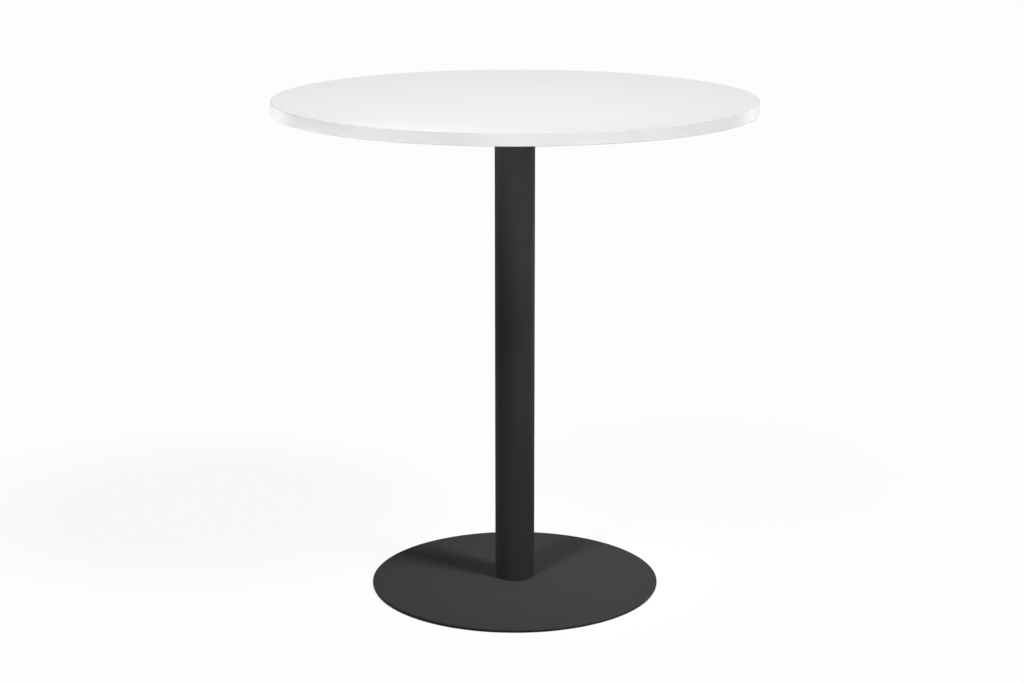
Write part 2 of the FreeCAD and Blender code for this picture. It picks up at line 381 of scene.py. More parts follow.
class BarTableStudio(bpy.types.PropertyGroup):
    """Camera and lamps round the table."""

    camera_distance: bpy.props.FloatProperty(
        name="Camera distance",
        description="Distance on the floor from the column's axis to the camera",
        default=4.4296,
        min=0.5,
        unit="LENGTH",
        subtype="DISTANCE",
    )
    camera_height: bpy.props.FloatProperty(
        name="Camera height",
        description="Height of the camera above the floor",
        default=1.6229,
        min=0.1,
        unit="LENGTH",
        subtype="DISTANCE",
    )
    camera_side: bpy.props.FloatProperty(
        name="Camera side step",
        description="How far the camera stands to the side of the column's axis",
        default=-0.006,
        unit="LENGTH",
        subtype="DISTANCE",
    )
    camera_pitch: bpy.props.FloatProperty(
        name="Camera pitch",
        description="How far the camera looks down",
        default=math.radians(13.8),
        unit="ROTATION",
        subtype="ANGLE",
    )
    camera_lens: bpy.props.FloatProperty(
        name="Camera lens",
        description="Focal length in millimetres on a sensor 36 mm wide",
        default=75.98,
        min=10.0,
    )
    key_light: bpy.props.FloatProperty(
        name="Key light",
        description="Share of white that the lamp at the front right gives a surface facing it",
        default=0.82,
        min=0.0,
        subtype="FACTOR",
    )
    side_light: bpy.props.FloatProperty(
        name="Side light",
        description="Share of white that the lamp at the front left gives a surface facing it",
        default=0.19,
        min=0.0,
        subtype="FACTOR",
    )
    top_lamp: bpy.props.FloatProperty(
        name="Top lamp",
        description="Power of the soft lamp over the front of the tabletop",
        default=0.55,
        min=0.0,
        unit="POWER",
    )
    foot_lamp: bpy.props.FloatProperty(
        name="Foot lamp",
        description="Power of the gridded lamp at the front left that brightens the right side of the foot",
        default=0.28,
        min=0.0,
        unit="POWER",
    )
    front_strip: bpy.props.FloatProperty(
        name="Front strip",
        description="Power of the gridded lamp in front of the tabletop",
        default=0.39,
        min=0.0,
        unit="POWER",
    )
    front_left_strip: bpy.props.FloatProperty(
        name="Front left strip",
        description="Power of the gridded lamp at the front left of the tabletop",
        default=0.27,
        min=0.0,
        unit="POWER",
    )
    front_right_strip: bpy.props.FloatProperty(
        name="Front right strip",
        description="Power of the gridded lamp at the front right of the column's upper end",
        default=0.30,
        min=0.0,
        unit="POWER",
    )
    right_strip: bpy.props.FloatProperty(
        name="Right strip",
        description="Power of the gridded lamp at the right of the column's upper half",
        default=0.37,
        min=0.0,
        unit="POWER",
    )
    left_strip: bpy.props.FloatProperty(
        name="Left strip",
        description="Power of the narrow gridded lamp at the left of the tabletop",
        default=0.19,
        min=0.0,
        unit="POWER",
    )
    edge_strip: bpy.props.FloatProperty(
        name="Edge strip",
        description="Power of the narrow gridded lamp that reaches the left end of the edge band only",
        default=0.08,
        min=0.0,
        unit="POWER",
    )
    low_strip: bpy.props.FloatProperty(
        name="Low strip",
        description="Power of the narrow gridded lamp at the left of the column's lower end",
        default=0.04,
        min=0.0,
        unit="POWER",
    )
    back_strips: bpy.props.FloatProperty(
        name="Back strips",
        description="Power of each of the two gridded lamps behind the table",
        default=1.0,
        min=0.0,
        unit="POWER",
    )
    under_light: bpy.props.FloatProperty(
        name="Light from below",
        description="Share of white that the lamp under the floor gives the table's undersides",
        default=0.35,
        min=0.0,
        subtype="FACTOR",
    )
    room_light: bpy.props.FloatProperty(
        name="Room light",
        description="Share of white that the room gives from all round",
        default=0.01,
        min=0.0,
        subtype="FACTOR",
    )
    floor_shadow: bpy.props.FloatProperty(
        name="Floor shadow",
        description="How strongly the table's shadow shows on the floor",
        default=0.08,
        min=0.0,
        max=1.0,
        subtype="FACTOR",
    )


# Finishes


def set_sockets(node, sockets):
    """Give a node's sockets fixed values, by their names with underscores for spaces."""
    for socket, value in sockets.items():
        node.inputs[socket.replace("_", " ")].default_value = value


class NodeGraph:
    """The nodes of a material or a world, and the steps that the finishes, the floor and the room share."""

    def __init__(self, owner):
        owner.use_nodes = True
        self.nodes = owner.node_tree.nodes
        self.links = owner.node_tree.links

    def add(self, kind, **sockets):
        """A new node, with fixed values for its sockets, such as Scale."""
        node = self.nodes.new(kind)
        set_sockets(node, sockets)
        return node

    def between(self, factor, low, high, start=0.3, stop=0.7):
        """A value that goes from low to high as factor goes from start to stop."""
        ramp = self.add("ShaderNodeMapRange", From_Min=start, From_Max=stop, To_Min=low, To_Max=high)
        self.links.new(factor, ramp.inputs["Value"])
        return ramp.outputs["Result"]

    def either(self, first, second):
        """1 where one of two outputs is 1."""
        larger = self.add("ShaderNodeMath")
        larger.operation = "MAXIMUM"
        self.links.new(first, larger.inputs[0])
        self.links.new(second, larger.inputs[1])
        return larger.outputs["Value"]

    def mix(self, share, first, second):
        """A mix of two nodes' shaders, with an output as the share of the second."""
        mixed = self.add("ShaderNodeMixShader")
        self.links.new(share, mixed.inputs["Fac"])
        self.links.new(first.outputs[0], mixed.inputs[1])
        self.links.new(second.outputs[0], mixed.inputs[2])
        return mixed

    def background_rays(self):
        """1 for what the camera, gloss and glass see, and 0 for light on the table."""
        rays = self.add("ShaderNodeLightPath").outputs
        seen = self.either(rays["Is Camera Ray"], rays["Is Glossy Ray"])
        return self.either(seen, rays["Is Transmission Ray"])

    def show(self, output, shader):
        """Make a node's shader the surface of the material or world."""
        self.links.new(shader.outputs[0], self.add(output).inputs["Surface"])


class Finish(NodeGraph):
    """A new node material whose patterns are laid out in the table's own coordinates."""

    def __init__(self, name):
        self.material = bpy.data.materials.new(name)
        super().__init__(self.material)
        self.shader = self.nodes["Principled BSDF"]
        self.place = self.add("ShaderNodeTexCoord").outputs["Object"]

    def set(self, **sockets):
        """Set the shader's own sockets, such as Roughness, to fixed values."""
        set_sockets(self.shader, sockets)

    def connect(self, **sockets):
        """Link patterns to the shader's sockets."""
        for socket, output in sockets.items():
            self.links.new(output, self.shader.inputs[socket.replace("_", " ")])

    def stretched(self, scale):
        """The table's coordinates, stretched along its axes."""
        mapping = self.add("ShaderNodeMapping", Scale=scale)
        self.links.new(self.place, mapping.inputs["Vector"])
        return mapping.outputs["Vector"]

    def noise(self, scale, detail=2.0, place=None):
        """Cloudy noise with so many features a metre."""
        noise = self.add("ShaderNodeTexNoise", Scale=scale, Detail=detail)
        self.links.new(place or self.place, noise.inputs["Vector"])
        return noise.outputs["Fac"]

    def cells(self, scale, output="Distance"):
        """Small cells with so many features a metre."""
        cells = self.add("ShaderNodeTexVoronoi", Scale=scale)
        self.links.new(self.place, cells.inputs["Vector"])
        return cells.outputs[output]

    def tinted(self, factor, colour, dark, light, start=0.3, stop=0.7):
        """The colour, from dark times to light times itself as factor goes from start to stop."""
        ramp = self.add("ShaderNodeValToRGB")
        for stage, position, share in zip(ramp.color_ramp.elements, (start, stop), (dark, light)):
            stage.position = position
            stage.color = [min(1.0, part * share) for part in colour] + [1.0]
        self.links.new(factor, ramp.inputs["Fac"])
        return ramp.outputs["Color"]

    def bumped(self, height, depth, below=None):
        """The surface raised by height times depth in metres, over another such surface."""
        bump = self.add("ShaderNodeBump", Strength=1.0, Distance=depth)
        self.links.new(height, bump.inputs["Height"])
        if below:
            self.links.new(below, bump.inputs["Normal"])
        return bump.outputs["Normal"]


def colours():
    """The colours that are set in the panel."""
    return bpy.context.scene.bar_table_colours


def sizes():
    """The sizes that are set in the panel."""
    return bpy.context.scene.bar_table_sizes


def white_laminate():
    """Smooth satin laminate with a fine pressed grain and a faintly uneven sheen."""
    finish = Finish("satin_laminate")
    clouds = finish.noise(scale=4.0, detail=3.0)
    colour = finish.tinted(clouds, colours().laminate, dark=0.992, light=1.008)
    sheen = finish.between(finish.noise(scale=9.0, detail=4.0), low=0.40, high=0.46)
    grain = finish.bumped(finish.noise(scale=1400.0, detail=3.0), depth=0.00001)
    waves = finish.bumped(finish.noise(scale=35.0), depth=0.00006, below=grain)
    finish.set(Specular_IOR_Level=0.45)
    finish.connect(Base_Color=colour, Roughness=sheen, Normal=waves)
    return finish.material


def white_backer():
    """Dull backing laminate with a sanded look."""
    finish = Finish("backing_laminate")
    clouds = finish.noise(scale=14.0, detail=5.0)
    colour = finish.tinted(clouds, colours().backer, dark=0.96, light=1.03)
    sheen = finish.between(finish.noise(scale=60.0), low=0.55, high=0.66)
    grain = finish.bumped(finish.noise(scale=900.0, detail=4.0), depth=0.00003)
    finish.set(Specular_IOR_Level=0.35)
    finish.connect(Base_Color=colour, Roughness=sheen, Normal=grain)
    return finish.material


def white_edge_band():
    """Extruded band with fine lines along it, which also vary its sheen."""
    finish = Finish("extruded_edge_band")
    clouds = finish.noise(scale=25.0, detail=3.0)
    colour = finish.tinted(clouds, colours().edge_band, dark=0.99, light=1.01)
    lines = finish.noise(scale=6.0, place=finish.stretched((1.0, 1.0, 500.0)))
    sheen = finish.between(lines, low=0.36, high=0.44)
    drawn = finish.bumped(lines, depth=0.000012)
    grain = finish.bumped(finish.noise(scale=1600.0), depth=0.000006, below=drawn)
    finish.set(Specular_IOR_Level=0.45)
    finish.connect(Base_Color=colour, Roughness=sheen, Normal=grain)
    return finish.material


def powder_coat(name, colour, depth):
    """Fine black powder coat: a small even orange peel with tiny specks of sheen."""
    finish = Finish(name)
    specks = finish.noise(scale=2600.0)
    painted_contact_shade = finish.tinted(specks, colour, dark=0.85, light=1.15)
    sheen = finish.between(finish.noise(scale=700.0), low=0.74, high=0.82)
    peel = finish.bumped(finish.noise(scale=650.0), depth)
    fine = finish.bumped(specks, depth / 3, below=peel)
    finish.set(Specular_IOR_Level=0.025)
    finish.connect(Base_Color=painted_contact_shade, Roughness=sheen, Normal=fine)
    return finish.material


def cast_iron():
    """Sand-cast surface under a thin dark primer."""
    finish = Finish("primed_cast_iron")
    patches = finish.noise(scale=70.0, detail=5.0)
    colour = finish.tinted(patches, colours().cast_iron, dark=0.7, light=1.5)
    sand = finish.noise(scale=420.0, detail=6.0)
    sheen = finish.between(sand, low=0.6, high=0.8)
    swells = finish.bumped(finish.noise(scale=45.0, detail=3.0), depth=0.0006)
    grain = finish.bumped(sand, depth=0.0002, below=swells)
    finish.set(Specular_IOR_Level=0.4)
    finish.connect(Base_Color=colour, Roughness=sheen, Normal=grain)
    return finish.material


def plated_steel(name, colour, roughness, depth):
    """Plated or cast metal with cloudy plating and a grain of the given depth."""
    finish = Finish(name)
    clouds = finish.tinted(finish.noise(scale=160.0, detail=4.0), colour, dark=0.88, light=1.06)
    patches = finish.noise(scale=500.0, detail=3.0)
    sheen = finish.between(patches, low=roughness - 0.05, high=roughness + 0.07)
    grain = finish.bumped(finish.noise(scale=3000.0), depth)
    finish.set(Metallic=1.0)
    finish.connect(Base_Color=clouds, Roughness=sheen, Normal=grain)
    return finish.material


def chipboard():
    """Pressed wood chips, as in the cut board."""
    finish = Finish("pressed_chips")
    chips = finish.cells(scale=260.0, output="Color")
    painted_contact_shade = finish.tinted(chips, colours().board, dark=0.7, light=1.25, start=0.1, stop=0.9)
    grain = finish.bumped(finish.cells(scale=260.0), depth=0.0003)
    finish.set(Specular_IOR_Level=0.2, Roughness=0.9)
    finish.connect(Base_Color=painted_contact_shade, Normal=grain)
    return finish.material


def moulded_nylon():
    """Black moulded nylon with a fine matt texture."""
    finish = Finish("moulded_nylon")
    clouds = finish.noise(scale=300.0, detail=3.0)
    colour = finish.tinted(clouds, colours().nylon, dark=0.85, light=1.2)
    sheen = finish.between(finish.noise(scale=800.0), low=0.45, high=0.6)
    grain = finish.bumped(finish.noise(scale=2200.0), depth=0.00002)
    finish.set(Specular_IOR_Level=0.4)
    finish.connect(Base_Color=colour, Roughness=sheen, Normal=grain)
    return finish.material


# Shaping


def outer_radius(node):
    """How far a round CAD node reaches from the column's axis."""
    return max(vertex.co.xy.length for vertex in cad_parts[node].data.vertices)


def ring_section(inner, outer, low, high):
    """The corners of a ring's section, or of a disc's where inner is zero, from its box's two corners."""
    return [(inner, low.z), (outer, low.z), (outer, high.z), (inner, high.z)]


def hold_flats(bm):
    """Split an outline's long edges near their ends, so that corners beside them don't shade the flats."""
    reach = sizes().shading_hold
    for edge in [edge for edge in bm.edges if edge.calc_length() > 4 * reach]:
        for corner in list(edge.verts):
            if corner.co.x > reach:
                point = bmesh.utils.edge_split(edge, corner, reach / edge.calc_length())[1]
                edge = max(point.link_edges, key=lambda part: part.calc_length())


def lathe(corners, roundings, steps, sweep=FULL_TURN):
    """A closed body turned about the column's axis from (radius, height) corners.

    roundings holds (corner's index, width, segments) for each corner that is rounded.
    """
    bm = bmesh.new()
    points = [bm.verts.new((radius, 0.0, height)) for radius, height in corners]
    bm.faces.new(points)
    for index, width, segments in roundings:
        bmesh.ops.bevel(
            bm,
            geom=[points[index]],
            affect="VERTICES",
            offset=width,
            segments=segments,
            profile=0.5,
            material=-1,
        )
    hold_flats(bm)
    bmesh.ops.delete(bm, geom=bm.faces[:], context="FACES_ONLY")
    on_axis = [edge for edge in bm.edges if max(vertex.co.x for vertex in edge.verts) < SAME_POINT]
    bmesh.ops.delete(bm, geom=on_axis, context="EDGES")
    full = sweep == FULL_TURN
    bmesh.ops.spin(
        bm,
        geom=bm.verts[:] + bm.edges[:],
        cent=(0.0, 0.0, 0.0),
        axis=(0.0, 0.0, 1.0),
        angle=sweep,
        steps=steps,
        use_merge=full,
    )
    bmesh.ops.remove_doubles(bm, verts=bm.verts[:], dist=SAME_POINT)
    if not full:
        bmesh.ops.holes_fill(bm, edges=[edge for edge in bm.edges if edge.is_boundary], sides=0)
    bmesh.ops.recalc_face_normals(bm, faces=bm.faces[:])
    return bm


def shade(bm):
    """Smooth shading, with a crease wherever two faces meet at a sharp angle."""
    sharp = math.radians(28)
    for face in bm.faces:
        face.smooth = True
    for edge in bm.edges:
        edge.smooth = len(edge.link_faces) == 2 and edge.calc_face_angle() < sharp


def piece(name, bm, material, body, replaced=()):
    """A finished piece of the table that rides on a body and may stand for CAD nodes."""
    shade(bm)
    mesh = bpy.data.meshes.new(name)
    bm.to_mesh(mesh)
    bm.free()
    mesh.materials.append(material)
    made = bpy.data.objects.new(name, mesh)
    bpy.context.scene.collection.objects.link(made)
    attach(made, body)
    if replaced:
        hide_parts(*replaced)


def cut_out(bm, cutter):
    """The first body with the second one cut out of it."""
    shapes = []
    for label, source in (("whole", bm), ("cutter", cutter)):
        mesh = bpy.data.meshes.new(label)
        source.to_mesh(mesh)
        source.free()
        shape = bpy.data.objects.new(label, mesh)
        bpy.context.scene.collection.objects.link(shape)
        shapes.append(shape)
    whole, tool = shapes
    cut = whole.modifiers.new("cut", "BOOLEAN")
    cut.operation = "DIFFERENCE"
    cut.solver = "EXACT"
    cut.object = tool
    graph = bpy.context.evaluated_depsgraph_get()
    result = bmesh.new()
    result.from_object(whole, graph)
    for shape in shapes:
        mesh = shape.data
        bpy.data.objects.remove(shape)
        bpy.data.meshes.remove(mesh)
    bmesh.ops.remove_doubles(result, verts=result.verts[:], dist=sizes().merging)
    return result


def drills(places, radius, bottom, top, sides=48):
    """Upright round or many-sided bars to cut holes with."""
    bm = bmesh.new()
    for x, y in places:
        bmesh.ops.create_cone(
            bm,
            cap_ends=True,
            segments=sides,
            radius1=radius,
            radius2=radius,
            depth=top - bottom,
            matrix=Matrix.Translation((x, y, (bottom + top) / 2)),
        )
    return bm


def loose_centres(node):
    """The centres on the floor plan of the separate solids in a CAD node."""
    bm = bmesh.new()
    bm.from_mesh(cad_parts[node].data)
    bmesh.ops.remove_doubles(bm, verts=bm.verts[:], dist=SAME_POINT)
    centres = []
    unseen = set(bm.verts)
    while unseen:
        island = set()
        front = [unseen.pop()]
        while front:
            vertex = front.pop()
            island.add(vertex)
            for edge in vertex.link_edges:
                other = edge.other_vert(vertex)
                if other in unseen:
                    unseen.remove(other)
                    front.append(other)
        reach = [[vertex.co[axis] for vertex in island] for axis in (0, 1)]
        centres.append(tuple((min(values) + max(values)) / 2 for values in reach))
    bm.free()
    return centres


def finish_nodes(material, *nodes):
    """Give CAD nodes their finish."""
    for node in nodes:
        for material_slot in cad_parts[node].material_slots:
            material_slot.material = material


# Pieces


class BARTABLE_OT_tabletop_faces(bpy.types.Operator):
    """Makes the laminate on top of the board and the backing laminate under it"""

    bl_idname = "bartable.tabletop_faces"
    bl_label = "Tabletop laminates"

    def execute(self, context):
        size = sizes()
        low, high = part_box("tabletop_upper_facing")
        radius = outer_radius("tabletop_upper_facing") - size.glue_line / 2
        roundings = [(UPPER_OUTER, size.corner_break, BREAK_SEGMENTS)]
        upper = lathe(ring_section(0.0, radius, low, high), roundings, size.round_steps)
        laminate = white_laminate()
        piece("tabletop_laminate", upper, laminate, TABLE, ["tabletop_upper_facing"])

        low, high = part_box("tabletop_lower_facing")
        roundings = [(LOWER_OUTER, size.corner_break, BREAK_SEGMENTS)]
        lower = lathe(ring_section(0.0, radius, low, high), roundings, size.round_steps)
        places = loose_centres("tabletop_inserts")
        holes = drills(places, size.insert_hole / 2, low.z - CUT_OVERRUN, high.z + CUT_OVERRUN)
        lower = cut_out(lower, holes)
        backer = white_backer()
        piece("tabletop_backing", lower, backer, TABLE, ["tabletop_lower_facing"])
        return {"FINISHED"}


class BARTABLE_OT_tabletop_edge(bpy.types.Operator):
    """Makes the edge band, rounded at both corners and butted together at the back"""

    bl_idname = "bartable.tabletop_edge"
    bl_label = "Tabletop edge band"

    def execute(self, context):
        size = sizes()
        low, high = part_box("tabletop_edge_band")
        outer = outer_radius("tabletop_edge_band")
        inner = outer - size.edge_thickness + size.glue_line / 2
        round_segments = 8
        roundings = [
            (LOWER_OUTER, size.edge_round, round_segments),
            (UPPER_OUTER, size.edge_round, round_segments),
            (LOWER_INNER, size.corner_break, BREAK_SEGMENTS),
            (UPPER_INNER, size.corner_break, BREAK_SEGMENTS),
        ]
        gap = size.butt_gap / outer
        band = lathe(ring_section(inner, outer, low, high), roundings, size.round_steps, FULL_TURN - gap)
        to_back = Matrix.Rotation(FULL_TURN / 4 + gap / 2, 3, "Z")
        bmesh.ops.rotate(band, verts=band.verts[:], cent=(0.0, 0.0, 0.0), matrix=to_back)
        piece("tabletop_edge", band, white_edge_band(), TABLE, ["tabletop_edge_band"])
        return {"FINISHED"}


class BARTABLE_OT_tabletop_inside(bpy.types.Operator):
    """Finishes the board and its threaded inserts"""

    bl_idname = "bartable.tabletop_inside"
    bl_label = "Tabletop core and inserts"

    def execute(self, context):
        cast_zinc = plated_steel("cast_zinc", colours().zinc_alloy, roughness=0.5, depth=0.00003)
        finish_nodes(chipboard(), "tabletop_core")
        finish_nodes(cast_zinc, "tabletop_inserts")
        return {"FINISHED"}


class BARTABLE_OT_spider(bpy.types.Operator):
    """Finishes the hub plate and the arms, and lays the weld beads between them"""

    bl_idname = "bartable.spider"
    bl_label = "Spider"

    def execute(self, context):
        # The spider takes the column's coat, painted darker than the foot's as painted shade
        coat = powder_coat("coat_on_spider_with_painted_shade", colours().column_coat_with_painted_shade, depth=0.00005)
        finish_nodes(coat, "spider_hub_plate", *(f"spider_arm_{number}" for number in ARMS))
        piece("spider_weld_beads", self.beads(), coat, TABLE)
        return {"FINISHED"}

    def beads(self):
        """One rippled bead along the outside of both walls of every arm, as far as the hub plate reaches."""
        size = sizes()
        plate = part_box("spider_hub_plate")[1]
        arm_low, arm_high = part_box("spider_arm_1")
        start = arm_low.x + size.weld_radius
        stop = plate.x - 2 * size.weld_radius
        whole = bmesh.new()
        for number in ARMS:
            turn = Matrix.Rotation((number - 1) * FULL_TURN / len(ARMS), 4, "Z")
            for side in (arm_low.y, arm_high.y):
                ends = [turn @ Vector((reach, side, plate.z)) for reach in (start, stop)]
                self.bead(whole, *ends)
        return whole

    def bead(self, bm, start, stop):
        """A tapered bead from start to stop, whose ripples swell and shrink a round section."""
        size = sizes()
        sides = 14
        steps_per_ripple = 5
        end_share = 0.55
        taper_start_share = 0.6
        taper_step_share = 0.2
        ripple_share = 0.16
        along = stop - start
        steps = int(along.length / size.weld_ripple) * steps_per_ripple
        facing = along.normalized().to_track_quat("Z", "Y").to_matrix().to_4x4()
        ring = bmesh.ops.create_circle(
            bm,
            cap_ends=True,
            segments=sides,
            radius=size.weld_radius * end_share,
            matrix=Matrix.Translation(start) @ facing,
        )["verts"]
        edges = list({edge for vertex in ring for edge in vertex.link_edges})
        swell = end_share
        centre = start
        for step in range(1, steps + 1):
            made = bmesh.ops.extrude_edge_only(bm, edges=edges)["geom"]
            ring = [part for part in made if isinstance(part, bmesh.types.BMVert)]
            edges = [part for part in made if isinstance(part, bmesh.types.BMEdge)]
            bmesh.ops.translate(bm, verts=ring, vec=along / steps)
            centre = centre + along / steps
            taper = min(1.0, taper_start_share + taper_step_share * min(step, steps - step))
            ripple = (step % steps_per_ripple) / steps_per_ripple
            wanted = taper * (1.0 - ripple_share * ripple)
            bmesh.ops.scale(
                bm,
                verts=ring,
                vec=[wanted / swell] * 3,
                space=Matrix.Translation(-centre),
            )
            swell = wanted
        bmesh.ops.contextual_create(bm, geom=ring)
        bmesh.ops.recalc_face_normals(bm, faces=bm.faces[:])


class BARTABLE_OT_fasteners(bpy.types.Operator):
    """Finishes the screws, bolts and washers"""

    bl_idname = "bartable.fasteners"
    bl_label = "Fasteners"

    def execute(self, context):
        zinc = plated_steel("zinc_plate", colours().zinc, roughness=0.3, depth=0.00001)
        oxide = plated_steel("black_oxide", colours().black_oxide, roughness=0.42, depth=0.00001)
        finish_nodes(zinc, "tabletop_screws", "tabletop_washers", "foot_screws")
        finish_nodes(oxide, "spider_bolts", "spider_spring_washers")
        return {"FINISHED"}


class BARTABLE_OT_column(bpy.types.Operator):
    """Makes the column's tube and finishes the plates in its ends"""

    bl_idname = "bartable.column"
    bl_label = "Column"

    def execute(self, context):
        size = sizes()
        low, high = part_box("column_tube")
        outer = outer_radius("column_tube")
        end_break = 2 * size.corner_break
        end_segments = 3
        roundings = [(LOWER_OUTER, end_break, end_segments), (UPPER_OUTER, end_break, end_segments)]
        section = ring_section(outer - size.tube_wall, outer, low, high)
        tube = lathe(section, roundings, size.round_steps // 2)
        # The column's coat is painted darker than the foot's, as painted shade on its upright face
        coat = powder_coat("coat_on_column_with_painted_shade", colours().column_coat_with_painted_shade, depth=0.00004)
        piece("column_shaft", tube, coat, TABLE, ["column_tube"])
        finish_nodes(coat, "column_upper_plate", "column_lower_plate")
        return {"FINISHED"}


class BARTABLE_OT_foot_cover(bpy.types.Operator):
    """Makes the foot's pressed cover: a shallow cone with a turned-down rim"""

    bl_idname = "bartable.foot_cover"
    bl_label = "Foot cover"

    def execute(self, context):
        size = sizes()
        low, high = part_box("foot_cover")
        outer = outer_radius("foot_cover")
        seat = outer_radius("column_tube") + size.seat_margin
        sheet = size.cover_sheet
        fall = (high.z - size.rim_height) / (outer - seat)
        corners = [
            (0.0, high.z),
            (seat, high.z),
            (outer, size.rim_height),
            (outer, low.z),
            (outer - sheet, low.z),
            (outer - sheet, size.rim_height + fall * sheet - sheet),
            (seat, high.z - sheet),
            (0.0, high.z - sheet),
        ]
        outer_bend, outer_cut, inner_cut, inner_bend = 2, 3, 4, 5
        outer_segments = 10
        inner_segments = 6
        roundings = [
            (outer_bend, size.rim_round, outer_segments),
            (inner_bend, size.rim_round - sheet, inner_segments),
            (outer_cut, 2 * size.corner_break, BREAK_SEGMENTS),
            (inner_cut, 2 * size.corner_break, BREAK_SEGMENTS),
        ]
        cover = lathe(corners, roundings, size.round_steps)
        places = loose_centres("foot_screws")
        holes = drills(places, size.cover_hole / 2, high.z - 2 * sheet, high.z + sheet)
        cover = cut_out(cover, holes)
        coat = powder_coat("coat_on_foot", colours().foot_coat, depth=0.00004)
        piece("foot_shell", cover, coat, TABLE, ["foot_cover"])
        return {"FINISHED"}


class BARTABLE_OT_foot_weight(bpy.types.Operator):
    """Finishes the cast weight inside the foot"""

    bl_idname = "bartable.foot_weight"
    bl_label = "Foot weight"

    def execute(self, context):
        finish_nodes(cast_iron(), "foot_weight")
        return {"FINISHED"}


class BARTABLE_OT_glides(bpy.types.Operator):
    """Makes the glides' threaded studs and finishes their pads"""

    bl_idname = "bartable.glides"
    bl_label = "Levelling glides"

    def execute(self, context):
        zinc = plated_steel("glide_zinc", colours().zinc, roughness=0.3, depth=0.00001)
        nylon = moulded_nylon()
        for number in GLIDES:
            node = f"glide_stud_{number}"
            body = f"glide_{number}_stud"
            piece(f"glide_screw_{number}", self.stud(*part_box(node)), zinc, body, [node])
            finish_nodes(nylon, f"glide_pad_{number}")
        return {"FINISHED"}

    def stud(self, low, high):
        """A flat head with a hexagon socket, a core and a helical thread round it."""
        size = sizes()
        steps = 64
        head = (high.x - low.x) / 2
        core = size.stud_radius - size.thread_depth
        neck = low.z + size.stud_head
        corners = [(0.0, low.z), (head, low.z), (head, neck), (core, neck), (core, high.z), (0.0, high.z)]
        head_bottom, head_top, core_top = 1, 2, 4
        roundings = [
            (head_bottom, size.corner_break, BREAK_SEGMENTS),
            (head_top, size.corner_break, BREAK_SEGMENTS),
            (core_top, 2 * size.corner_break, BREAK_SEGMENTS),
        ]
        body = lathe(corners, roundings, steps)
        key_radius = size.stud_key / math.sqrt(3)
        key_top = low.z + size.stud_key_depth
        body = cut_out(body, drills([(0.0, 0.0)], key_radius, low.z - CUT_OVERRUN, key_top, sides=6))
        self.thread(body, core, neck, high.z)
        place = ((low.x + high.x) / 2, (low.y + high.y) / 2, 0.0)
        bmesh.ops.translate(body, verts=body.verts[:], vec=place)
        return body

    def thread(self, bm, core, bottom, top):
        """Winds a ridge round the core, from the head to the stud's top."""
        size = sizes()
        pitch = size.thread_pitch
        sink_share = 0.1
        crest_start_share = 0.42
        crest_stop_share = 0.54
        root_stop_share = 0.96
        steps_per_turn = 40
        root = core - sink_share * pitch
        start = bottom + sink_share * pitch
        turns = (top - start - pitch) / pitch
        steps = int(turns * steps_per_turn)
        body = set(bm.faces)
        section = [
            bm.verts.new((root, 0.0, start)),
            bm.verts.new((size.stud_radius, 0.0, start + crest_start_share * pitch)),
            bm.verts.new((size.stud_radius, 0.0, start + crest_stop_share * pitch)),
            bm.verts.new((root, 0.0, start + root_stop_share * pitch)),
        ]
        bmesh.ops.spin(
            bm,
            geom=[bm.faces.new(section)],
            cent=(0.0, 0.0, 0.0),
            axis=(0.0, 0.0, 1.0),
            dvec=(0.0, 0.0, pitch / steps_per_turn),
            angle=steps * FULL_TURN / steps_per_turn,
            steps=steps,
        )
        bmesh.ops.recalc_face_normals(bm, faces=[face for face in bm.faces if face not in body])


